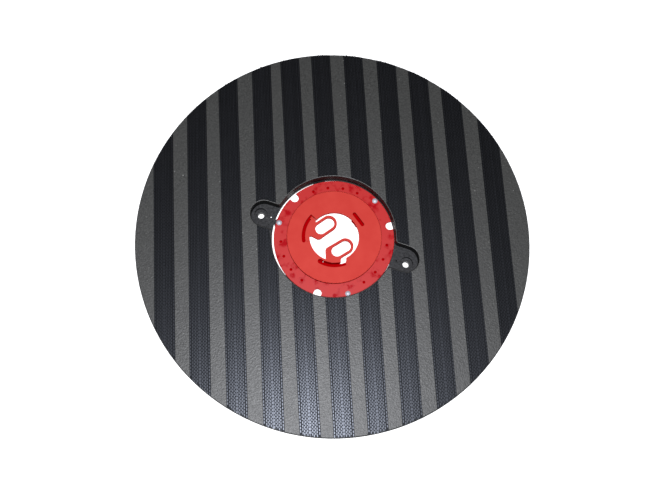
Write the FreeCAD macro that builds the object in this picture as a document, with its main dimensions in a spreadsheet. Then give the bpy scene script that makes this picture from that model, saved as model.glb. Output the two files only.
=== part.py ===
import FreeCAD, Part
import math
import os
import re

# Pad driver of a rotary floor machine: a round board whose face carries hook strips for the
# cleaning pad, a two-piece centre lock that clamps the pad's middle, and the coupling on the
# back that the machine turns.
# Frame: +Z is the turning axis and points out of the pad face; the origin is on that axis, on
# the plane of the coupling's back, which the driver rests on. Lengths are mm, angles degrees.

doc = FreeCAD.newDocument("pad_driver")

# ---------------------------------------------------------------- driving dimensions
SIZES = {
    # board
    "board_radius": 200.0,
    "board_thick": 12.5,
    "face_plate": 4.0,
    "rim_wall": 5.0,
    "rim_round": 1.2,
    "bore_radius": 63.3,
    "hub_radius": 97.0,
    "rib_thick": 3.0,
    "inner_rib_ring": 129.0,
    "outer_rib_ring": 162.0,
    "edge_round": 0.8,
    # screw windows, one each side of the bore
    "right_window_reach": 76.7,
    "left_window_reach": 74.9,
    "window_turn": -21.2,
    "window_radius": 13.4,
    "window_corner": 4.0,
    # hook strips
    "strip_width": 20.3,
    "strip_thick": 1.5,
    "strip_inset": 0.8,
    "strip_gap": 0.9,
    # drive coupling
    "coupling_thick": 12.0,
    "coupling_radius": 95.0,
    "channel_radius": 70.0,
    "web_thick": 3.0,
    "web_bore_radius": 62.95,
    "pilot_radius": 44.0,
    "ring_radius": 51.5,
    "lug_radius": 5.2,
    "lug_thick": 5.0,
    "dog_angle": 100.0,
    "dog_width": 12.0,
    "coupling_bevel": 1.5,
    "machine_hole_circle": 79.0,
    "machine_hole_turn": -22.1,
    "machine_hole_radius": 3.3,
    "counterbore_radius": 6.65,
    "counterbore_depth": 5.0,
    "drain_circle": 68.2,
    "drain_turn": -22.7,
    "drain_radius": 1.0,
    # coupling screws and the inserts they turn into
    "screw_circle": 86.0,
    "screw_angle": 10.0,
    "screw_radius": 2.45,
    "screw_clear": 2.75,
    "screw_end_gap": 0.5,
    "screw_head_radius": 4.6,
    "screw_head_thick": 3.2,
    "screw_recess_radius": 5.4,
    "screw_recess_depth": 5.0,
    "screw_socket_radius": 2.0,
    "screw_socket_depth": 1.9,
    "insert_radius": 3.6,
    "insert_bore": 2.5,
    "insert_length": 8.0,
    # lock seat
    "lock_offset": 0.8,
    "flange_radius": 62.0,
    "flange_thick": 2.5,
    "flange_round": 0.5,
    "notch_circle": 59.2,
    "notch_angle": 10.3,
    "notch_radius": 4.1,
    "dimple_circle": 54.6,
    "dimple_angle": 85.2,
    "dimple_step": 16.5,
    "dimple_radius": 1.5,
    "dimple_depth": 1.9,
    "collar_outer": 33.2,
    "collar_inner": 28.6,
    "collar_undercut": 30.6,
    "collar_rise": 5.5,
    "collar_lip": 3.0,
    # rivets
    "rivet_circle": 58.9,
    "rivet_angle": 40.5,
    "rivet_radius": 1.75,
    "rivet_head_radius": 2.8,
    "rivet_head_rise": 1.5,
    "rivet_tail_thick": 1.2,
    # lock lid
    "lid_radius": 48.3,
    "lid_thick": 3.5,
    "lid_round": 0.7,
    "lid_hole": 25.2,
    "grip_rim_outer": 47.4,
    "grip_rim_inner": 44.8,
    "grip_rim_depth": 1.2,
    "centring_gap": 0.35,
    "centring_rib": 2.0,
    "centring_depth": 2.6,
    "straight_slot_distance": 30.7,
    "straight_slot_angle": 33.2,
    "straight_slot_length": 13.5,
    "straight_slot_radius": 1.9,
    "tongue_outer": 28.3,
    "far_tongue_start": 24.0,
    "far_tongue_end": 42.0,
    "near_tongue_start": 231.0,
    "near_tongue_end": 241.8,
    # snap arms
    "knuckle_gap": 0.2,
    "arm_gap": 0.2,
    "tab_inner": 28.6,
    "tab_outer": 31.0,
    "tab_span": 5.5,
    "loop_hole": 5.65,
    "loop_wall": 2.6,
    "hook_inner": 25.6,
    "hook_outer": 27.4,
    "hook_nose": 28.4,
    "nose_thick": 1.4,
    "nose_gap": 0.25,
    # left arm: its root, the far end of its window, its own tip, its slot and its hook
    "left_root": 183.0,
    "left_window": 132.3,
    "left_tip": 134.0,
    "left_slot_end": 185.4,
    "left_slot_inner": 29.6,
    "left_slot_outer": 33.2,
    "left_hook_start": 144.0,
    "left_hook_end": 159.0,
    # right arm
    "right_root": 239.6,
    "right_window": 289.0,
    "right_tip": 280.0,
    "right_slot_end": 237.6,
    "right_slot_inner": 27.1,
    "right_slot_outer": 32.0,
    "right_hook_start": 243.0,
    "right_hook_end": 280.0,
}

# Hook strips from left to right: the middle of each across the board, and how many degrees its
# far end leans towards +X.
STRIPS = [
    (-170.6, 0.08), (-136.3, 0.33), (-102.2, 0.02), (-67.1, 0.24), (-34.7, -0.33), (-2.1, -0.2),
    (31.7, 0.03), (66.1, 0.25), (100.0, -0.03), (134.0, -0.33), (168.8, -0.06),
]

# Finger loops: the middles of the two round ends of each, the heel next to the arm's root.
LOOPS = {"left": ((-13.2, 8.8), (-4.8, 14.1)), "right": ((1.9, -15.3), (10.6, -10.6))}

# The web that ties each loop to its arm.
WEBS = {
    "left": [(-8.8, 1.8), (-14.5, -2.0), (-16.9, -2.1), (-23.3, 1.6), (-27.0, 1.5), (-27.0, 6.0),
             (-25.0, 12.5), (-21.5, 18.0), (-19.3, 17.2), (-17.6, 15.8), (-13.2, 8.8)],
    "right": [(-2.0, -8.0), (-8.4, -11.4), (-9.8, -13.4), (-9.9, -25.0), (-4.0, -27.2),
              (5.0, -27.2), (5.4, -23.2), (7.6, -21.3), (1.9, -15.3)],
}

# The open way past the tip of the right arm, from the lid's hole to the slot.
CHANNEL = [(4.6, -20.0), (11.1, -20.6), (10.0, -29.8), (4.6, -31.4)]

RADIAL_RIBS = 36
SCREWS = 6
THIRDS = (0, 120, 240)
DIMPLES_PER_THIRD = 4
TOUCH = 0.001

# Heights that several pieces share.
BACK = "coupling_thick"
FACE = "coupling_thick + board_thick"
FLANGE_LOW = "coupling_thick - flange_thick"
LID_LOW = "coupling_thick + collar_rise"
NOSE_LOW = "coupling_thick + collar_rise - collar_lip - nose_gap - nose_thick"

sheet = doc.addObject("Spreadsheet::Sheet", "Sizes")
for row, (alias, value) in enumerate(SIZES.items(), start=1):
    sheet.set("A%d" % row, alias)
    sheet.set("B%d" % row, str(value))
    sheet.setAlias("B%d" % row, alias)
doc.recompute()

sub_parts = []


# ---------------------------------------------------------------- making tools
def formula(words):
    """Turn words such as "board_radius - rim_wall" into an expression on the sheet's cells."""
    return re.sub(r"[a-z_]+", lambda w: "Sizes." + w[0] if w[0] in SIZES else w[0], words)


def primitive(kind, at=("0", "0", "0"), turn=None, **sizes):
    """Add a Part primitive whose sizes, place and turn about Z are bound to the sheet."""
    made = doc.addObject("Part::" + kind, kind)
    for prop, words in sizes.items():
        made.setExpression(prop, formula(words))
    for axis, words in zip("xyz", at):
        made.setExpression("Placement.Base." + axis, formula(words))
    if turn is not None:
        made.setExpression("Placement.Rotation.Angle", formula(turn))
    return made


def cylinder(radius, height, low="0", middle=("0", "0")):
    """An upright cylinder that stands at the height low."""
    return primitive("Cylinder", (*middle, low), Radius=radius, Height=height)


def around(radius, angle):
    """The x and y of the point at a radius and an angle."""
    return "(%s) * cos(%s)" % (radius, angle), "(%s) * sin(%s)" % (radius, angle)


def tube(outer, inner, height, low="0"):
    """An upright tube round the turning axis."""
    return cut(cylinder(outer, height, low), cylinder(inner, height, low))


def slice_of(outer, inner, start, end, height, low="0"):
    """The part of a tube between two angles."""
    span = "%s - (%s)" % (end, start)
    whole = primitive("Cylinder", ("0", "0", low), start, Radius=outer, Height=height, Angle=span)
    return cut(whole, cylinder(inner, height, low))


def bar(end_middle, turn, width, length, height, low="0"):
    """A box turned about Z whose near end is centred on a point."""
    x = "%s + (%s) / 2 * sin(%s)" % (end_middle[0], width, turn)
    y = "%s - (%s) / 2 * cos(%s)" % (end_middle[1], width, turn)
    return primitive("Box", (x, y, low), turn, Length=length, Width=width, Height=height)


def spoke(start, end, turn, width, height, low="0"):
    """A box along a radius, from one distance off the axis to another."""
    return bar(around(start, turn), turn, width, "%s - (%s)" % (end, start), height, low)


def prism(points, height, low="0"):
    """A straight-sided plate: a closed sketch of the points, extruded upwards."""
    sketch = doc.addObject("Sketcher::SketchObject", "Outline")
    corners = [FreeCAD.Vector(x, y, 0) for x, y in points]
    for first, second in zip(corners, corners[1:] + corners[:1]):
        sketch.addGeometry(Part.LineSegment(first, second), False)
    sketch.setExpression("Placement.Base.z", formula(low))
    made = doc.addObject("Part::Extrusion", "Plate")
    made.Base = sketch
    made.DirMode = "Custom"
    made.Dir = FreeCAD.Vector(0, 0, 1)
    made.Solid = True
    made.setExpression("LengthFwd", formula(height))
    return made


def fuse(*pieces):
    """One solid from several that meet."""
    made = doc.addObject("Part::MultiFuse", "Joined")
    made.Shapes = list(pieces)
    made.Refine = True
    return made


def cut(base, *tools):
    """The base with one or more tools taken away."""
    made = doc.addObject("Part::Cut", "Cut")
    made.Base = base
    made.Tool = tools[0] if len(tools) == 1 else fuse(*tools)
    made.Refine = True
    return made


def common(first, second):
    """What two solids share."""
    made = doc.addObject("Part::Common", "Shared")
    made.Base = first
    made.Tool = second
    return made


def group(*pieces):
    """Separate solids kept together as one sub-part."""
    made = doc.addObject("Part::Compound", "Group")
    made.Links = list(pieces)
    return made


def ease(kind, base, alias, picks):
    """Round ("Fillet") or bevel ("Chamfer") the edges that picks accepts, by a cell's size."""
    doc.recompute()
    size = sheet.get(alias)
    chosen = [number for number, edge in enumerate(base.Shape.Edges, start=1) if picks(edge)]
    if not chosen:
        raise RuntimeError("no edge to ease by " + alias)
    made = doc.addObject("Part::" + kind, kind)
    made.Base = base
    made.Edges = [(number, size, size) for number in chosen]
    return made


def is_level(edge, height):
    """True for an edge that lies flat at a height."""
    box = edge.BoundBox
    return abs(box.ZMin - height) < TOUCH and abs(box.ZMax - height) < TOUCH


def reach(edge):
    """How far an edge gets from the turning axis, judged at its ends and its middle."""
    first, last = edge.FirstParameter, edge.LastParameter
    points = [edge.valueAt(t) for t in (first, (first + last) / 2, last)]
    return max(math.hypot(point.x, point.y) for point in points)


def keep(made, label, offset=False):
    """Keep a finished sub-part under its node's name; the lock sits a little off the axis."""
    if offset:
        made.setExpression("Placement.Base.x", formula("lock_offset"))
    made.Label = label
    sub_parts.append(made)


# ---------------------------------------------------------------- board and hook strips
def opening(gap, height, low):
    """The bore with a round-ended screw window on each side of it, all grown by a gap."""
    pieces = [cylinder("bore_radius + " + gap, height, low)]
    radius = "window_radius + " + gap
    for reach_to, turn in (("right_window_reach", "window_turn"),
                           ("left_window_reach", "window_turn + 180")):
        pieces.append(cylinder(radius, height, low, around(reach_to, turn)))
        pieces.append(spoke("bore_radius / 2", reach_to, turn, "2 * (%s)" % radius, height, low))
    return fuse(*pieces)


def make_board():
    """A moulded disc: a face plate stiffened from behind by a rim, a hub, rings and ribs."""
    depth = "board_thick - face_plate"
    face_height = sheet.get("coupling_thick") + sheet.get("board_thick")
    disc = cylinder("board_radius", "board_thick", BACK)
    disc = ease("Fillet", disc, "rim_round", lambda edge: is_level(edge, face_height))
    ribs = []
    for ring in ("inner_rib_ring", "outer_rib_ring"):
        ribs.append(tube(ring + " + rib_thick / 2", ring + " - rib_thick / 2", depth, BACK))
    for rib in range(RADIAL_RIBS):
        turn = "%g" % (360 * (rib + 0.5) / RADIAL_RIBS)
        ribs.append(spoke("hub_radius - rib_thick", "board_radius - rim_wall / 2", turn,
                          "rib_thick", depth, BACK))
    pockets = cut(tube("board_radius - rim_wall", "hub_radius", depth, BACK), *ribs)
    seats = [cylinder("insert_radius", "insert_length", BACK, spot) for spot in screw_spots()]
    body = cut(disc, pockets, opening("0", "board_thick", BACK), *seats)
    bore = sheet.get("bore_radius")

    def is_window_corner(edge):
        box = edge.BoundBox
        upright = box.ZMax - box.ZMin > sheet.get("board_thick") - TOUCH
        return upright and abs(reach(edge) - bore) < TOUCH and box.XMax - box.XMin < TOUCH

    body = ease("Fillet", body, "window_corner", is_window_corner)
    hub = sheet.get("hub_radius")
    body = ease("Fillet", body, "edge_round",
                lambda edge: is_level(edge, face_height) and reach(edge) < hub)
    keep(body, "board")


def make_strips():
    """Lengths of hook tape laid side by side, trimmed to the rim and round the bore."""
    trim = cylinder("board_radius - strip_inset", "strip_thick", FACE)
    hole = opening("strip_gap", "strip_thick", FACE)
    for number, (middle, slant) in enumerate(STRIPS, start=1):
        turn = "90 - (%g)" % slant
        foot = ("%g - board_radius * sin(%g)" % (middle, slant),
                "0 - board_radius * cos(%g)" % slant)
        tape = bar(foot, turn, "strip_width", "2 * board_radius", "strip_thick", FACE)
        keep(cut(common(tape, trim), hole), "hook_strip_%02d" % number)


# ---------------------------------------------------------------- drive coupling
def screw_spots():
    """Where the coupling's screws go: evenly round their circle."""
    for number in range(SCREWS):
        yield around("screw_circle", "screw_angle + %g" % (number * 360 / SCREWS))


def make_coupling():
    """Outer ring on the board, inner ring under the lock, and three drive dogs that tie them."""
    outer = cut(cylinder("coupling_radius", "coupling_thick"),
                cylinder("channel_radius", "coupling_thick - web_thick"),
                cylinder("web_bore_radius", "coupling_thick"))
    outer = ease("Chamfer", outer, "coupling_bevel",
                 lambda edge: is_level(edge, 0) and reach(edge) > sheet.get("screw_circle"))
    ring_height = "coupling_thick - flange_thick"
    pieces = [outer, cylinder("ring_radius", ring_height)]
    lug_low = "coupling_thick - flange_thick - lug_thick"
    for third in THIRDS:
        turn = "dog_angle + %d" % third
        pieces.append(spoke("pilot_radius + 1", "channel_radius + 1", turn, "dog_width",
                            "coupling_thick - web_thick"))
        spot = rivet_spot(third)
        pieces.append(cylinder("lug_radius", "lug_thick", lug_low, spot))
        pieces.append(spoke("pilot_radius + 1", "rivet_circle", "rivet_angle + %d" % third,
                            "2 * lug_radius", "lug_thick", lug_low))
    holes = [cylinder("pilot_radius", "coupling_thick")]
    for third in THIRDS:
        holes.append(cylinder("rivet_radius", "coupling_thick", "0", rivet_spot(third)))
    for spot in screw_spots():
        holes.append(cylinder("screw_clear", "coupling_thick", "0", spot))
        holes.append(cylinder("screw_recess_radius", "screw_recess_depth", "0", spot))
    for side in (0, 180):
        spot = around("machine_hole_circle", "machine_hole_turn + %d" % side)
        holes.append(cylinder("machine_hole_radius", "coupling_thick", "0", spot))
        holes.append(cylinder("counterbore_radius", "counterbore_depth",
                              "coupling_thick - counterbore_depth", spot))
        spot = around("drain_circle", "drain_turn + %d" % side)
        holes.append(cylinder("drain_radius", "coupling_thick", "0", spot))
    keep(cut(fuse(*pieces), *holes), "drive_coupling")


def make_screws():
    """Socket screws from behind, each in a brass insert in the board."""
    screws = []
    inserts = []
    head_low = "screw_recess_depth - screw_head_thick"
    shank = "coupling_thick - screw_recess_depth + insert_length - screw_end_gap"
    for spot in screw_spots():
        head = cylinder("screw_head_radius", "screw_head_thick", head_low, spot)
        stem = cylinder("screw_radius", shank, "screw_recess_depth", spot)
        socket = primitive("Prism", (*spot, head_low), Circumradius="screw_socket_radius",
                           Height="screw_socket_depth")
        socket.Polygon = 6
        screws.append(cut(fuse(head, stem), socket))
        inserts.append(cut(cylinder("insert_radius", "insert_length", BACK, spot),
                           cylinder("insert_bore", "insert_length", BACK, spot)))
    keep(group(*screws), "coupling_screws")
    keep(group(*inserts), "threaded_inserts")


# ---------------------------------------------------------------- centre lock
def rivet_spot(third):
    """Where a rivet goes, on the lock's own middle."""
    x, y = around("rivet_circle", "rivet_angle + %d" % third)
    return "lock_offset + " + x, y


def make_seat():
    """A flange with open notches and dimples, and a collar whose lip the lid's hooks catch."""
    flange = cylinder("flange_radius", "flange_thick", FLANGE_LOW)
    flange_top = sheet.get("coupling_thick")
    flange = ease("Fillet", flange, "flange_round", lambda edge: is_level(edge, flange_top))
    collar = cylinder("collar_outer", "collar_rise", BACK)
    holes = [cylinder("collar_inner", "flange_thick + collar_rise", FLANGE_LOW),
             cylinder("collar_undercut", "flange_thick + collar_rise - collar_lip", FLANGE_LOW)]
    for third in THIRDS:
        turn = "notch_angle + %d" % third
        holes.append(cylinder("notch_radius", "flange_thick", FLANGE_LOW,
                              around("notch_circle", turn)))
        holes.append(spoke("notch_circle", "flange_radius + notch_radius", turn,
                           "2 * notch_radius", "flange_thick", FLANGE_LOW))
        holes.append(cylinder("rivet_radius", "flange_thick", FLANGE_LOW,
                              around("rivet_circle", "rivet_angle + %d" % third)))
        for number in range(DIMPLES_PER_THIRD):
            steps = number - (DIMPLES_PER_THIRD - 1) / 2
            turn = "dimple_angle + %d + %g * dimple_step" % (third, steps)
            holes.append(cylinder("dimple_radius", "dimple_depth", "coupling_thick - dimple_depth",
                                  around("dimple_circle", turn)))
    keep(cut(fuse(flange, collar), *holes), "lock_seat", offset=True)


def make_rivets():
    """Three dome-headed rivets through the flange and the coupling's lugs."""
    rivets = []
    tail_low = "coupling_thick - flange_thick - lug_thick - rivet_tail_thick"
    for third in THIRDS:
        spot = rivet_spot(third)
        shank = cylinder("rivet_radius", "flange_thick + lug_thick + rivet_tail_thick", tail_low, spot)
        tail = cylinder("rivet_head_radius", "rivet_tail_thick", tail_low, spot)
        # The dome is a ball's cap: its radius follows from the cap's width and rise.
        ball_radius = "(rivet_head_radius ^ 2 + rivet_head_rise ^ 2) / (2 * rivet_head_rise)"
        ball_middle = "coupling_thick + rivet_head_rise - " + ball_radius
        ball = primitive("Sphere", (*spot, ball_middle), Radius=ball_radius)
        slab = cylinder("rivet_head_radius", "rivet_head_rise", BACK, spot)
        rivets.append(fuse(shank, tail, common(ball, slab)))
    keep(group(*rivets), "seat_rivets")


def arm_window(side):
    """The lid's opening for one arm: its span, the slot beside it and the knuckle's socket."""
    low, tall = LID_LOW, "lid_thick"
    root, window = side + "_root", side + "_window"
    slot_end, slot_inner, slot_outer = (side + "_slot_" + word for word in ("end", "inner", "outer"))
    first, last = (window, root) if side == "left" else (root, window)
    slot_first, slot_last = (window, slot_end) if side == "left" else (slot_end, window)
    slot_middle = "(%s + %s) / 2" % (slot_outer, slot_inner)
    root_middle = "(lid_hole + %s) / 2" % slot_inner
    knuckle = "(%s - lid_hole) / 2 + knuckle_gap" % slot_inner
    return [
        slice_of(slot_outer, "lid_hole / 2", first, last, tall, low),
        slice_of(slot_outer, slot_inner, slot_first, slot_last, tall, low),
        cylinder("(%s - %s) / 2" % (slot_outer, slot_inner), tall, low, around(slot_middle, slot_end)),
        cylinder(knuckle, tall, low, around(root_middle, root)),
    ]


def make_lid():
    """A round plate: a hole, two arm windows, a straight slot, and rims and two tongues below."""
    disc = cylinder("lid_radius", "lid_thick", LID_LOW)
    top = sheet.get("coupling_thick") + sheet.get("collar_rise") + sheet.get("lid_thick")
    disc = ease("Fillet", disc, "lid_round", lambda edge: is_level(edge, top))
    rim = tube("grip_rim_outer", "grip_rim_inner", "grip_rim_depth", LID_LOW + " - grip_rim_depth")
    rib_inner = "collar_outer + centring_gap"
    rib = tube(rib_inner + " + centring_rib", rib_inner, "centring_depth",
               LID_LOW + " - centring_depth")
    holes = [cylinder("lid_hole", "lid_thick", LID_LOW)]
    holes += arm_window("left") + arm_window("right")
    holes.append(prism(CHANNEL, "lid_thick", LID_LOW))
    half = "straight_slot_length / 2"
    along = "straight_slot_angle + 90"
    middle = around("straight_slot_distance", "straight_slot_angle")
    for sign in ("+", "-"):
        x, y = around(half, along)
        end = ("%s %s %s" % (middle[0], sign, x), "%s %s %s" % (middle[1], sign, y))
        holes.append(cylinder("straight_slot_radius", "lid_thick", LID_LOW, end))
    holes.append(bar(end, along, "2 * straight_slot_radius", "straight_slot_length", "lid_thick",
                     LID_LOW))
    far_tongue = slice_of("tongue_outer", "lid_hole", "far_tongue_start", "far_tongue_end",
                          "%s - (%s) + lid_thick / 2" % (LID_LOW, NOSE_LOW), NOSE_LOW)
    # This one runs on under the right arm's root, so it stays below the arm.
    near_tongue = slice_of("tongue_outer", "lid_hole", "near_tongue_start", "near_tongue_end",
                           "%s - (%s) + arm_gap / 2" % (LID_LOW, NOSE_LOW), NOSE_LOW)
    body = fuse(disc, rim, rib)
    keep(fuse(cut(body, *holes), far_tongue, near_tongue), "lock_lid", offset=True)


def stadium(ends, radius, height, low):
    """A long round-ended plate between two points."""
    (x1, y1), (x2, y2) = ends
    turn = "%g" % math.degrees(math.atan2(y2 - y1, x2 - x1))
    first = ("%g" % x1, "%g" % y1)
    second = ("%g" % x2, "%g" % y2)
    length = "%g" % math.hypot(x2 - x1, y2 - y1)
    return fuse(cylinder(radius, height, low, first), cylinder(radius, height, low, second),
                bar(first, turn, "2 * (%s)" % radius, length, height, low))


def make_arm(side):
    """A springy arm between hole and slot, with a finger loop, a stop tab and a snap hook."""
    low = LID_LOW + " + arm_gap"
    tall = "lid_thick - arm_gap"
    root, tip, slot_inner = side + "_root", side + "_tip", side + "_slot_inner"
    first, last = (tip, root) if side == "left" else (root, tip)
    root_middle = "(lid_hole + %s) / 2" % slot_inner
    hook_first, hook_last = side + "_hook_start", side + "_hook_end"
    stem_tall = "%s - (%s) + lid_thick / 2" % (LID_LOW, NOSE_LOW)
    pieces = [
        slice_of(slot_inner, "lid_hole", first, last, tall, low),
        cylinder("(%s - lid_hole) / 2" % slot_inner, tall, low, around(root_middle, root)),
        stadium(LOOPS[side], "loop_hole + loop_wall", tall, low),
        prism(WEBS[side], tall, low),
        slice_of("hook_outer", "hook_inner", hook_first, hook_last, stem_tall, NOSE_LOW),
        slice_of("hook_nose", "hook_inner", hook_first, hook_last, "nose_thick", NOSE_LOW),
    ]
    if side == "left":
        pieces.append(slice_of("tab_outer", "tab_inner", tip, tip + " + tab_span", tall, low))
    body = cut(fuse(*pieces), stadium(LOOPS[side], "loop_hole", tall, low))
    keep(body, "latch_arm_" + side, offset=True)


# ---------------------------------------------------------------- build and write
make_board()
make_strips()
make_coupling()
make_screws()
make_seat()
make_rivets()
make_lid()
for arm_side in ("left", "right"):
    make_arm(arm_side)
doc.recompute()

for made in doc.Objects:
    if "Invalid" in made.State or "Error" in made.State:
        raise RuntimeError("%s (%s) did not compute: %s" % (made.Name, made.Label, made.State))
for made in sub_parts:
    if made.Shape.isNull() or not made.Shape.isValid() or not made.Shape.Solids:
        raise RuntimeError("%s has no valid solid" % made.Label)

os.makedirs("parts", exist_ok=True)
for made in sub_parts:
    made.Shape.exportStep("parts/%s.step" % made.Label)
    box = made.Shape.BoundBox
    print("%-18s solids %2d volume %9.1f z %.2f to %.2f"
          % (made.Label, len(made.Shape.Solids), made.Shape.Volume, box.ZMin, box.ZMax))
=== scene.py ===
"""Looks of a floor-machine pad driver: its materials, its hook tape, the light and the camera."""
import math

import bpy
import numpy as np
from mathutils import Matrix, Vector


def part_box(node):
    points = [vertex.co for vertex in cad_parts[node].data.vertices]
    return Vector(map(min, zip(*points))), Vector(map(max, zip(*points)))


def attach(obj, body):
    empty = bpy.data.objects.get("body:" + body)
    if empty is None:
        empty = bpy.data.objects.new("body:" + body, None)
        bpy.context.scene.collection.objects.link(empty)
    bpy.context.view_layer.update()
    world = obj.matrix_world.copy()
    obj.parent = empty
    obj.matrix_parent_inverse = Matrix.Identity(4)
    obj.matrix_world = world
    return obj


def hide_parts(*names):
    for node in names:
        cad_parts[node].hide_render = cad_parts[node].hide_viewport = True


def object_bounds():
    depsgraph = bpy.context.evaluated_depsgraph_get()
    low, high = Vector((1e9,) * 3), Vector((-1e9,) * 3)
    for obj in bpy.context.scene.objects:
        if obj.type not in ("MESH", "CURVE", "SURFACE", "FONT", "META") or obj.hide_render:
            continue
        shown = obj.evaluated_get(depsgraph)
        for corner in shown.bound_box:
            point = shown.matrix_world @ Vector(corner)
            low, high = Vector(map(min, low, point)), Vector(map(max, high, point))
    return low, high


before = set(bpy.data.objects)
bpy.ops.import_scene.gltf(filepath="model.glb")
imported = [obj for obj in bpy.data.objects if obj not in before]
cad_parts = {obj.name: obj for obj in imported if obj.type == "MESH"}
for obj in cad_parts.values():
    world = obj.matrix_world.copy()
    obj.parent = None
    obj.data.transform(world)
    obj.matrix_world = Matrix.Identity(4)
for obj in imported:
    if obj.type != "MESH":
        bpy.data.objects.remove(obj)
CAD_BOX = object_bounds()
MM = 0.001
scene = bpy.context.scene
scene.view_settings.view_transform = "Standard"


# ---------------------------------------------------------------- camera
CAMERA_AZIMUTH = -10.272
CAMERA_ELEVATION = 75.659
CAMERA_ROLL = 7.182
CAMERA_DISTANCE = 0.8554
CAMERA_LENS = 46.78
SENSOR_WIDTH = 36.0
FRAME_SHIFT = (-0.01329, -0.01285)


def make_camera():
    """A camera aimed at the middle of the pad face, rolled a little about its own axis."""
    azimuth, elevation = math.radians(CAMERA_AZIMUTH), math.radians(CAMERA_ELEVATION)
    back = Vector((math.sin(azimuth) * math.cos(elevation),
                   -math.cos(azimuth) * math.cos(elevation), math.sin(elevation)))
    level = Vector((0, 0, 1)).cross(back).normalized()
    upright = back.cross(level)
    turn = math.radians(CAMERA_ROLL)
    right = level * math.cos(turn) + upright * math.sin(turn)
    up = upright * math.cos(turn) - level * math.sin(turn)
    data = bpy.data.cameras.new("camera")
    data.lens, data.sensor_width = CAMERA_LENS, SENSOR_WIDTH
    data.shift_x, data.shift_y = FRAME_SHIFT
    data.clip_start, data.clip_end = 0.01, 50.0
    camera = bpy.data.objects.new("camera", data)
    face_middle = Vector((0, 0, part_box("board")[1].z))
    turned = Matrix((right, up, back)).transposed().to_4x4()
    camera.matrix_world = Matrix.Translation(face_middle + back * CAMERA_DISTANCE) @ turned
    scene.collection.objects.link(camera)
    scene.camera = camera


make_camera()


# ---------------------------------------------------------------- small tools
def linear(hex_colour):
    """The linear colour, with alpha, of an sRGB hex value such as #d4473e."""
    parts = [int(hex_colour[i:i + 2], 16) / 255 for i in (1, 3, 5)]
    return [c / 12.92 if c <= 0.04045 else ((c + 0.055) / 1.055) ** 2.4 for c in parts] + [1.0]


def per_mm(size):
    """A texture's scale for features of a size in millimetres, on coordinates in metres."""
    return 1 / (size * MM)


def add(tree, kind, inputs=None, out=0, **settings):
    """Add a shader node with its settings, and fill its inputs with values or links.

    It gives back the output that out numbers or names, or None where the node has no outputs."""
    made = tree.nodes.new("ShaderNode" + kind)
    for name, value in settings.items():
        setattr(made, name, value)
    for socket, value in (inputs or {}).items():
        if isinstance(value, bpy.types.NodeSocket):
            tree.links.new(value, made.inputs[socket])
        else:
            made.inputs[socket].default_value = value
    return made.outputs[out] if len(made.outputs) else None


# The sockets of a Mix node when it mixes colours.
SHARE, FIRST, SECOND = 0, 6, 7
COLOURS = {"data_type": "RGBA", "out": 2}

LEVEL_WITHIN = 0.4
LEVEL_LEFT = 0.9


def between(tree, value, low, high, first, second, most=1.0):
    """A mixed colour: none of the second where a value is low, and a share of most where it is high."""
    share = add(tree, "MapRange", {"Value": value, "From Min": low, "From Max": high, "To Max": most})
    return add(tree, "Mix", {SHARE: share, FIRST: first, SECOND: second}, **COLOURS)


def away_from(tree, place, height):
    """How far z is from a height: 0 up to LEVEL_WITHIN millimetres off it, 1 from LEVEL_LEFT on."""
    z = add(tree, "SeparateXYZ", {"Vector": place}, out="Z")
    difference = add(tree, "Math", {0: z, 1: height}, operation="SUBTRACT")
    off = add(tree, "Math", {0: difference}, operation="ABSOLUTE")
    return add(tree, "MapRange", {"Value": off, "From Min": LEVEL_WITHIN * MM,
                                  "From Max": LEVEL_LEFT * MM})


def new_material(name):
    """A material and its node tree, which is empty."""
    material = bpy.data.materials.new(name)
    material.use_nodes = True
    material.node_tree.nodes.clear()
    return material, material.node_tree


def put_shader(tree, inputs):
    """End a material's tree: a Principled shader with these inputs, on the output."""
    shader = add(tree, "BsdfPrincipled", inputs)
    add(tree, "OutputMaterial", {"Surface": shader})


# ---------------------------------------------------------------- materials
# Patterns lie on the object's own coordinates, in metres, and a noise's scale comes from the width of
# its blotches in millimetres.
def spark_textured_polypropylene():
    """Moulded polypropylene with a spark-eroded grain: an even dark grey that glitters faintly.

    Its upright walls are painted nearly black, as painted shade, with less specular. The real grain is
    a few tenths of a millimetre or less, and it is drawn coarser so that it shows."""
    material, tree = new_material("spark_textured_polypropylene")
    place = add(tree, "TexCoord", out="Object")
    grain = add(tree, "TexNoise", {"Vector": place, "Scale": per_mm(1.6), "Roughness": 0.7})
    cloud = add(tree, "TexNoise", {"Vector": place, "Scale": per_mm(30.0)})
    glint = add(tree, "TexNoise", {"Vector": place, "Scale": per_mm(2.2), "Detail": 1.0})
    grained = between(tree, grain, 0.35, 0.65, linear("#333331"), linear("#4d4d4a"))
    clouded = between(tree, cloud, 0.3, 0.7, grained, linear("#40403e"), most=0.5)
    flecked = between(tree, glint, 0.76, 0.8, clouded, linear("#8a8a86"))
    # Painted shade: faces turned away from up, the upright walls, get a near-black colour and less
    # specular.
    facing = add(tree, "NewGeometry", out="Normal")
    upward = add(tree, "SeparateXYZ", {"Vector": facing}, out="Z")
    level = add(tree, "MapRange", {"Value": upward, "From Min": 0.1, "From Max": 0.7})
    base = add(tree, "Mix", {SHARE: level, FIRST: linear("#121212"), SECOND: flecked}, **COLOURS)
    gloss = add(tree, "MapRange", {"Value": level, "To Min": 0.06, "To Max": 0.5})
    polish = add(tree, "MapRange", {"Value": grain, "From Min": 0.25, "From Max": 0.75,
                                    "To Min": 0.47, "To Max": 0.39})
    relief = add(tree, "Bump", {"Height": grain, "Distance": 0.28 * MM, "Strength": 1.0})
    put_shader(tree, {"Base Color": base, "Specular IOR Level": gloss, "Roughness": polish,
                      "Normal": relief})
    return material


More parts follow.
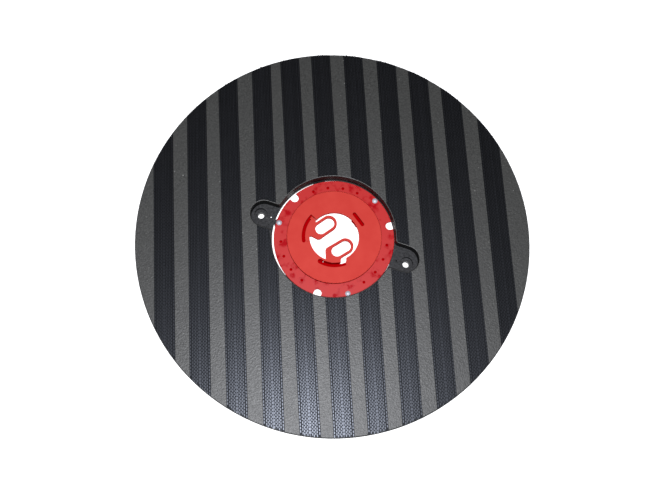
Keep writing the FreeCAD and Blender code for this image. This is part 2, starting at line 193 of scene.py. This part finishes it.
def moulded_hook_nylon():
    """Black nylon hook tape, moulded against smooth dies: satin, with a cool sheen.

    The mesh's sheen tone is 0 on the bare backing, low on the rails and the rib, and up to 1 on hooks.
    It lightens the colour as painted sheen, more on some rows than others, and also sets the roughness
    and specular."""
    material, tree = new_material("moulded_hook_nylon")
    place = add(tree, "TexCoord", out="Object")
    cloud = add(tree, "TexNoise", {"Vector": place, "Scale": per_mm(12.0)})
    sheen_tone = add(tree, "Attribute", out="Fac", attribute_name="sheen_tone")
    black = between(tree, cloud, 0.3, 0.7, linear("#0c0c0c"), linear("#131313"))
    # Painted sheen: the sheen tone lightens the colour on hooks, rails and rib, more on some rows than
    # others.
    base = add(tree, "Mix", {SHARE: sheen_tone, FIRST: black, SECOND: linear("#1e1e20")}, **COLOURS)
    polish = add(tree, "MapRange", {"Value": sheen_tone, "From Max": 0.5, "To Min": 0.5, "To Max": 0.34})
    gloss = add(tree, "MapRange", {"Value": sheen_tone, "From Max": 0.5, "To Min": 0.15, "To Max": 0.5})
    put_shader(tree, {"Base Color": base, "Specular IOR Level": gloss, "Roughness": polish,
                      "Specular Tint": linear("#eaf1ff"), "IOR": 1.53})
    return material


def glass_filled_nylon():
    """Glass-filled nylon of the coupling: near black, satin, with pale scuffs from handling.

    The glass fibres are far finer than the pattern, which is drawn coarse so that it shows."""
    material, tree = new_material("glass_filled_nylon")
    place = add(tree, "TexCoord", out="Object")
    fibre = add(tree, "TexNoise", {"Vector": place, "Scale": per_mm(2.5), "Detail": 4.0,
                                   "Roughness": 0.65})
    scuff = add(tree, "TexNoise", {"Vector": place, "Scale": per_mm(9.0), "Detail": 5.0,
                                   "Roughness": 0.7})
    fibrous = between(tree, fibre, 0.35, 0.65, linear("#0f0f10"), linear("#343436"))
    worn = between(tree, scuff, 0.58, 0.7, fibrous, linear("#454544"))
    polish = add(tree, "MapRange", {"Value": fibre, "From Min": 0.3, "From Max": 0.7,
                                    "To Min": 0.5, "To Max": 0.65})
    relief = add(tree, "Bump", {"Height": fibre, "Distance": 0.45 * MM, "Strength": 1.0})
    put_shader(tree, {"Base Color": worn, "Specular IOR Level": 0.35, "Roughness": polish,
                      "Normal": relief})
    return material


def matt_red_polypropylene():
    """The lid and its snap arms: red polypropylene with a fine matt mould grain, drawn coarse.

    Below the lid's top, down the slots, the red is deep: painted shade, for the little light that comes
    back there."""
    material, tree = new_material("matt_red_polypropylene")
    place = add(tree, "TexCoord", out="Object")
    grain = add(tree, "TexNoise", {"Vector": place, "Scale": per_mm(0.9)})
    cloud = add(tree, "TexNoise", {"Vector": place, "Scale": per_mm(14.0)})
    top = between(tree, cloud, 0.3, 0.7, linear("#cb352b"), linear("#d13d32"))
    sunk_shade = away_from(tree, place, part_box("lock_lid")[1].z)
    # Painted shade: below the lid's top the colour goes to a deep red.
    base = add(tree, "Mix", {SHARE: sunk_shade, FIRST: top, SECOND: linear("#9c0006")}, **COLOURS)
    gloss = add(tree, "MapRange", {"Value": sunk_shade, "To Min": 0.3, "To Max": 0.0})
    relief = add(tree, "Bump", {"Height": grain, "Distance": 0.04 * MM, "Strength": 1.0})
    put_shader(tree, {"Base Color": base, "Specular IOR Level": gloss, "Roughness": 0.7,
                      "Normal": relief})
    return material


def greased_red_polypropylene():
    """The lock seat: satin red polypropylene, wet and deeper red where grease has smeared it.

    The flange's top is flush with the coupling's. Away from it, in pits and under the lid, the red
    is deeper: painted shade."""
    material, tree = new_material("greased_red_polypropylene")
    place = add(tree, "TexCoord", out="Object")
    grease = add(tree, "TexNoise", {"Vector": place, "Scale": per_mm(9.0), "Detail": 3.0,
                                    "Roughness": 0.55})
    smear = add(tree, "MapRange", {"Value": grease, "From Min": 0.5, "From Max": 0.68})
    top = add(tree, "Mix", {SHARE: smear, FIRST: linear("#c42523"), SECOND: linear("#b00d18")},
              **COLOURS)
    sunk_shade = away_from(tree, place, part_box("drive_coupling")[1].z)
    # Painted shade: off the flange's top, in pits and under the lid, the colour goes to a deeper red.
    base = add(tree, "Mix", {SHARE: sunk_shade, FIRST: top, SECOND: linear("#a80006")}, **COLOURS)
    gloss = add(tree, "MapRange", {"Value": sunk_shade, "To Min": 0.35, "To Max": 0.0})
    polish = add(tree, "MapRange", {"Value": smear, "To Min": 0.5, "To Max": 0.2})
    put_shader(tree, {"Base Color": base, "Specular IOR Level": gloss, "Roughness": polish})
    return material


def pressed_aluminium():
    """Rivet heads: pressed aluminium, dulled white by oxide."""
    material, tree = new_material("pressed_aluminium")
    place = add(tree, "TexCoord", out="Object")
    dull = add(tree, "TexNoise", {"Vector": place, "Scale": per_mm(0.8)})
    polish = add(tree, "MapRange", {"Value": dull, "From Min": 0.3, "From Max": 0.7,
                                    "To Min": 0.5, "To Max": 0.65})
    put_shader(tree, {"Base Color": linear("#cfd2da"), "Metallic": 0.35, "Roughness": polish})
    return material


def zinc_plated_steel():
    """Screws: zinc-plated steel, bright with a mottled grain."""
    material, tree = new_material("zinc_plated_steel")
    place = add(tree, "TexCoord", out="Object")
    spangle = add(tree, "TexNoise", {"Vector": place, "Scale": per_mm(1.2), "Detail": 3.0})
    base = between(tree, spangle, 0.3, 0.7, linear("#a9abb0"), linear("#c9cbce"))
    polish = add(tree, "MapRange", {"Value": spangle, "From Min": 0.3, "From Max": 0.7,
                                    "To Min": 0.3, "To Max": 0.5})
    put_shader(tree, {"Base Color": base, "Metallic": 1.0, "Roughness": polish})
    return material


def turned_brass():
    """Threaded inserts: turned brass, a little dulled."""
    material, tree = new_material("turned_brass")
    place = add(tree, "TexCoord", out="Object")
    dull = add(tree, "TexNoise", {"Vector": place, "Scale": per_mm(1.0)})
    base = between(tree, dull, 0.3, 0.7, linear("#c9a45a"), linear("#b08a44"))
    put_shader(tree, {"Base Color": base, "Metallic": 1.0, "Roughness": 0.35})
    return material


MATERIALS = {
    "board": spark_textured_polypropylene(),
    "drive_coupling": glass_filled_nylon(),
    "coupling_screws": zinc_plated_steel(),
    "threaded_inserts": turned_brass(),
    "lock_seat": greased_red_polypropylene(),
    "seat_rivets": pressed_aluminium(),
    "lock_lid": matt_red_polypropylene(),
}
MATERIALS["latch_arm_left"] = MATERIALS["latch_arm_right"] = MATERIALS["lock_lid"]
for node_name, finish in MATERIALS.items():
    for material_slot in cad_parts[node_name].material_slots:
        material_slot.material = finish


# ---------------------------------------------------------------- hook tape
# Lengths are in millimetres. TAPE_LEANS, in degrees, has one lean a tape from left to right.
TAPE_WIDTH = 20.3
TAPE_END_RADIUS = 199.2
TAPE_GAP = 0.9
TAPE_LEANS = (0.08, 0.33, 0.02, 0.24, -0.33, -0.2, 0.03, 0.25, -0.03, -0.33, -0.06)

# Each window has the turn of its line from the axis, and the reach of that line.
BORE_RADIUS = 63.3
WINDOW_RADIUS = 13.4
WINDOW_TURN = math.radians(-21.2)
WINDOWS = ((WINDOW_TURN, 76.7), (WINDOW_TURN + math.pi, 74.9))
SEARCH_POINTS = 400
HALVINGS = 12

# The rib and the rails each narrow from a half width at the foot to one at the top.
BACKING_THICK = 0.45
BACKING_STATIONS = 9
RIB_HALF_WIDTH = 0.2
RIB_FOOT = 0.26
RIB_RISE = 0.85
# The rib's and the rails' sheen tones lighten their colour: painted sheen.
RIB_SHEEN_TONE = 0.45
RAIL_HALF_WIDTH = 0.32
RAIL_FOOT = 0.5
RAIL_RISE = 0.35
RAIL_SHEEN_TONE = 0.25

# Every column stands on both sides of the middle; the outermost one has no rail.
HOOK_COLUMNS = (0.76, 2.28, 3.8, 5.3, 6.8, 9.0)
HOOK_PITCH = 3.3
HOOK_THICK = 0.9
HOOK_SINK = 0.05
HOOK_MARGIN = 0.7
# Each inner row's sheen tone is drawn at random between these two; it lightens the hooks' colour as
# painted sheen.
INNER_ROW_SHEEN_TONES = (0.5, 1.0)
OUTER_ROW_SHEEN_TONE = 1.0
SPREAD_ACROSS = 0.04
SPREAD_ALONG = 0.08
SPREAD_ROW_LEAN = 0.1
SPREAD_HOOK_LEAN = 0.05
SPREAD_HEIGHT = 0.02

# One hook's side outline, forward and up: a stem that leans back, a flat crown, a blunt tip.
HOOK_OUTLINE = np.array([
    (-1.2, 0), (-1.3, 0.7), (-1.1, 1.0), (1.15, 1.0), (1.4, 0.7), (1.35, 0.5),
    (1.1, 0.65), (0.6, 0.7), (0.0, 0.55), (-0.1, 0)])

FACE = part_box("board")[1].z / MM


def write_mesh(name, points, face_sets):
    """A flat-shaded mesh object from points in millimetres and sets of faces.

    Each set is an array with one row of corners a face."""
    mesh = bpy.data.meshes.new(name)
    corners = np.concatenate([faces.ravel() for faces in face_sets])
    totals = np.concatenate([np.full(len(faces), faces.shape[1]) for faces in face_sets])
    mesh.vertices.add(len(points))
    mesh.vertices.foreach_set("co", (np.asarray(points) * MM).astype(np.float32).ravel())
    mesh.loops.add(len(corners))
    mesh.loops.foreach_set("vertex_index", corners.astype(np.int32))
    mesh.polygons.add(len(totals))
    mesh.polygons.foreach_set("loop_start", (np.cumsum(totals) - totals).astype(np.int32))
    mesh.polygons.foreach_set("loop_total", totals.astype(np.int32))
    mesh.polygons.foreach_set("use_smooth", np.zeros(len(totals), dtype=bool))
    mesh.update(calc_edges=True)
    mesh.validate()
    piece = bpy.data.objects.new(name, mesh)
    scene.collection.objects.link(piece)
    return piece


def grid_faces(rows, columns, start=0, flip=False):
    """The quads of a grid of points numbered row by row from start."""
    number = start + np.arange(rows * columns).reshape(rows, columns)
    quads = np.stack([number[:-1, :-1], number[1:, :-1], number[1:, 1:], number[:-1, 1:]], axis=-1)
    return quads.reshape(-1, 4)[:, ::-1] if flip else quads.reshape(-1, 4)


def slab(top, bottom):
    """Points and quads of a closed slab between two grids of points that share their outline.

    The walls join each point round the outline of the top to its neighbour and to those below."""
    rows, columns = top.shape[:2]
    size = rows * columns
    number = np.arange(size).reshape(rows, columns)
    outline = np.concatenate([number[0, :-1], number[:-1, -1], number[-1, :0:-1], number[:0:-1, 0]])
    after = np.roll(outline, -1)
    walls = np.stack([outline, after, after + size, outline + size], axis=-1)
    quads = [grid_faces(rows, columns), grid_faces(rows, columns, size, flip=True), walls]
    return np.concatenate([top.reshape(-1, 3), bottom.reshape(-1, 3)]), np.concatenate(quads)


def inside_opening(x, y, gap):
    """True where a point is in the bore or in a window, both grown by a gap.

    A window is every point within its radius of the line from the axis out to its far middle."""
    found = np.hypot(x, y) < BORE_RADIUS + gap
    for turn, reach in WINDOWS:
        along = x * math.cos(turn) + y * math.sin(turn)
        aside = y * math.cos(turn) - x * math.sin(turn)
        past = along - np.clip(along, 0, reach)
        found |= np.hypot(past, aside) < WINDOW_RADIUS + gap
    return found


def tape_to_frame(tape, u, v):
    """x and y of a point u across a tape and v along it: a turn by its lean about its middle."""
    middle, lean = tape
    c, s = math.cos(math.radians(lean)), math.sin(math.radians(lean))
    return middle + c * u + s * v, c * v - s * u


def rim_ends(tape, u):
    """Low and high v where the line at each u meets the circle of the tape's ends.

    v is that of the axis, less or plus the root of the radius squared less u from the axis squared."""
    middle, lean = tape
    angle = math.radians(lean)
    u_axis, v_axis = -middle * math.cos(angle), -middle * math.sin(angle)
    half = np.sqrt(TAPE_END_RADIUS ** 2 - (u - u_axis) ** 2)
    return v_axis - half, v_axis + half


def opening_ends(tape, u):
    """Low and high v of the opening on the line at each u, or None if the tape misses it.

    The first and last sampled v inside are moved to the edge by halving the step to the next one."""
    v = np.linspace(-TAPE_END_RADIUS / 2, TAPE_END_RADIUS / 2, SEARCH_POINTS)
    inside = inside_opening(*tape_to_frame(tape, u[:, None], v[None, :]), TAPE_GAP)
    if not inside.any():
        return None
    first, last = inside.argmax(axis=1), len(v) - 1 - inside[:, ::-1].argmax(axis=1)
    ends = []
    for within, outside in ((v[first], v[first - 1]), (v[last], v[last + 1])):
        for _ in range(HALVINGS):
            middle = (within + outside) / 2
            hit = inside_opening(*tape_to_frame(tape, u, middle), TAPE_GAP)
            within, outside = np.where(hit, middle, within), np.where(hit, outside, middle)
        ends.append(within)
    return ends


def backing(tape, sheen_tones):
    """The tape's backing, with a rail under each inner row of hooks, and each point's sheen tone.

    z is the face, the backing's thickness, and what the rib and the rails rise at u: all of it on
    their flat tops, falling evenly to nothing at their feet. v goes in even steps from end to end."""
    half = TAPE_WIDTH / 2
    rails = np.array([side * column for side in (-1, 1) for column in HOOK_COLUMNS[:-1]])
    steps = np.array([-RAIL_FOOT, -RAIL_HALF_WIDTH, RAIL_HALF_WIDTH, RAIL_FOOT])
    edges = [-half, -RIB_FOOT, -RIB_HALF_WIDTH, 0, RIB_HALF_WIDTH, RIB_FOOT, half]
    u = np.unique(np.concatenate([(rails[:, None] + steps).ravel(), edges]))
    rib = np.clip((RIB_FOOT - np.abs(u)) / (RIB_FOOT - RIB_HALF_WIDTH), 0, 1)
    off_rail = np.abs(u[:, None] - rails)
    rail = np.clip((RAIL_FOOT - off_rail) / (RAIL_FOOT - RAIL_HALF_WIDTH), 0, 1)
    rise = RIB_RISE * rib + RAIL_RISE * rail.max(axis=1)
    sheen_tone = RIB_SHEEN_TONE * rib + RAIL_SHEEN_TONE * rail.max(axis=1) * sheen_tones[off_rail.argmin(axis=1)]
    low, high = rim_ends(tape, u)
    opening = opening_ends(tape, u)
    stretches = [(low, high)] if opening is None else [(low, opening[0]), (opening[1], high)]
    for start, end in stretches:
        share = np.linspace(0, 1, BACKING_STATIONS)
        v = start[:, None] + (end - start)[:, None] * share
        x, y = tape_to_frame(tape, u[:, None], v)
        z = FACE + BACKING_THICK + rise[:, None] + 0 * v
        points, quads = slab(np.stack([x, y, z], axis=-1), np.stack([x, y, 0 * z + FACE], axis=-1))
        yield points, quads, np.tile(np.repeat(sheen_tone, v.shape[1]), 2)


def hook_places(tape, sheen_tones, rng):
    """Where the hooks of a tape stand: arrays of u, v, facing, lean and sheen tone.

    Each column across the tape is shifted half a pitch from the next and faces the other way."""
    steps = np.arange(-TAPE_END_RADIUS, TAPE_END_RADIUS, HOOK_PITCH)
    rows = []
    inner = len(HOOK_COLUMNS) - 1
    for half, side in enumerate((-1, 1)):
        for number, column in enumerate(HOOK_COLUMNS):
            shifted = number % 2
            facing = 1 if shifted else -1
            sheen_tone = sheen_tones[half * inner + number] if number < inner else OUTER_ROW_SHEEN_TONE
            row_lean = rng.normal(0, SPREAD_ROW_LEAN)
            row = np.tile((side * column, 0, facing, row_lean, sheen_tone), (len(steps), 1))
            row[:, 1] = steps + shifted * HOOK_PITCH / 2
            rows.append(row)
    u, v, facing, lean, sheen_tone = np.concatenate(rows).T
    u = u + rng.normal(0, SPREAD_ACROSS, len(u))
    v = v + rng.normal(0, SPREAD_ALONG, len(v))
    lean = lean + rng.normal(0, SPREAD_HOOK_LEAN, len(v))
    x, y = tape_to_frame(tape, u, v)
    on_face = np.hypot(x, y) < TAPE_END_RADIUS - HOOK_MARGIN
    keep = on_face & ~inside_opening(x, y, TAPE_GAP + HOOK_MARGIN)
    return u[keep], v[keep], facing[keep], lean[keep], sheen_tone[keep]


def hooks(tape, sheen_tones, rng):
    """Every hook of a tape: points, the faces of both flanks, the faces between, sheen tones.

    Forward is the outline's, plus lean times height; each flank is half a thickness from the middle."""
    u, v, facing, lean, sheen_tone = hook_places(tape, sheen_tones, rng)
    count = len(HOOK_OUTLINE)
    height = HOOK_OUTLINE[None, :, 1] * (1 + rng.normal(0, SPREAD_HEIGHT, len(u)))[:, None]
    forward = facing[:, None] * (HOOK_OUTLINE[None, :, 0] + lean[:, None] * height)
    flanks = []
    for edge in (-1, 1):
        x, y = tape_to_frame(tape, u[:, None] + edge * HOOK_THICK / 2, v[:, None] + forward)
        flanks.append(np.stack([x, y, FACE + BACKING_THICK - HOOK_SINK + height], axis=-1))
    points = np.stack(flanks, axis=1)
    start = (np.arange(len(u)) * 2 * count)[:, None]
    ring = np.arange(count)
    flat = np.concatenate([start + ring, (start + count + ring)[:, ::-1]])
    after = np.roll(ring, -1)
    rim = np.stack([ring, ring + count, after + count, after], axis=-1)
    rim = (start[:, :, None] + rim[None]).reshape(-1, 4)
    # A hook that faces the other way is a mirror image, so its faces are turned round.
    mirrored = facing < 0
    for faces, turned in ((flat, np.tile(mirrored, 2)), (rim, np.repeat(mirrored, count))):
        faces[turned] = faces[turned][:, ::-1]
    return points.reshape(-1, 3), flat, rim, np.repeat(sheen_tone, 2 * count)


def make_tape(number, lean, finish):
    """One length of hook tape on the board: its backing with all its hooks, in one mesh."""
    strip = "hook_strip_%02d" % number
    low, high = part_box(strip)
    tape = ((low.x + high.x) / 2 / MM, lean)
    rng = np.random.default_rng(number)
    row_sheen_tones = rng.uniform(*INNER_ROW_SHEEN_TONES, 2 * (len(HOOK_COLUMNS) - 1))
    points, quads, sheen_tones = [], [], []
    total = 0
    for slab_points, slab_quads, slab_sheen_tones in backing(tape, row_sheen_tones):
        points.append(slab_points)
        quads.append(slab_quads + total)
        sheen_tones.append(slab_sheen_tones)
        total += len(slab_points)
    hook_points, flat, rim, hook_sheen_tones = hooks(tape, row_sheen_tones, rng)
    points.append(hook_points)
    sheen_tones.append(hook_sheen_tones)
    piece = write_mesh("hook_tape_%02d" % number, np.concatenate(points),
                       [np.concatenate(quads), flat + total, rim + total])
    sheen_tone = piece.data.attributes.new("sheen_tone", "FLOAT", "POINT")
    sheen_tone.data.foreach_set("value", np.concatenate(sheen_tones).astype(np.float32))
    piece.data.materials.append(finish)
    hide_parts(strip)
    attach(piece, "driver")


hook_nylon = moulded_hook_nylon()
for tape_number, tape_lean in enumerate(TAPE_LEANS, start=1):
    make_tape(tape_number, tape_lean, hook_nylon)


# ---------------------------------------------------------------- floor, light
FLOOR_HALF = 6.0
FLOOR_GLOW = 0.85
WORLD_STRENGTH = 0.02
SOFTBOX_PLACE = (-0.04, -0.23, 0.95)
SOFTBOX_TARGET = (0, 0, 0.02)
SOFTBOX_SIZE = 0.14
SOFTBOX_POWER = 11.0


def make_floor():
    """A large plain sheet of back-lit white acrylic, which the driver lies on."""
    material, tree = new_material("back_lit_white_acrylic")
    put_shader(tree, {"Base Color": linear("#f4f4f2"), "Roughness": 0.9,
                      "Emission Color": linear("#ffffff"), "Emission Strength": FLOOR_GLOW})
    mesh = bpy.data.meshes.new("floor")
    corners = ((-1, -1), (1, -1), (1, 1), (-1, 1))
    points = [(FLOOR_HALF * x, FLOOR_HALF * y, CAD_BOX[0].z) for x, y in corners]
    mesh.from_pydata(points, [], [(0, 1, 2, 3)])
    floor = bpy.data.objects.new("floor", mesh)
    mesh.materials.append(material)
    scene.collection.objects.link(floor)


def area_light(name, place, target, size, power, colour):
    """A square softbox at a place, aimed at a target."""
    data = bpy.data.lights.new(name, "AREA")
    data.size, data.energy, data.color = size, power, linear(colour)[:3]
    light = bpy.data.objects.new(name, data)
    light.location = place
    light.rotation_euler = (Vector(target) - Vector(place)).to_track_quat("-Z", "Y").to_euler()
    scene.collection.objects.link(light)


def make_world():
    """An even pale surround."""
    world = bpy.data.worlds.new("studio")
    world.use_nodes = True
    surround = world.node_tree.nodes["Background"]
    surround.inputs["Color"].default_value = linear("#ffffff")
    surround.inputs["Strength"].default_value = WORLD_STRENGTH
    scene.world = world


make_floor()
make_world()
area_light("camera_softbox", SOFTBOX_PLACE, SOFTBOX_TARGET, SOFTBOX_SIZE, SOFTBOX_POWER, "#f6f8ff")
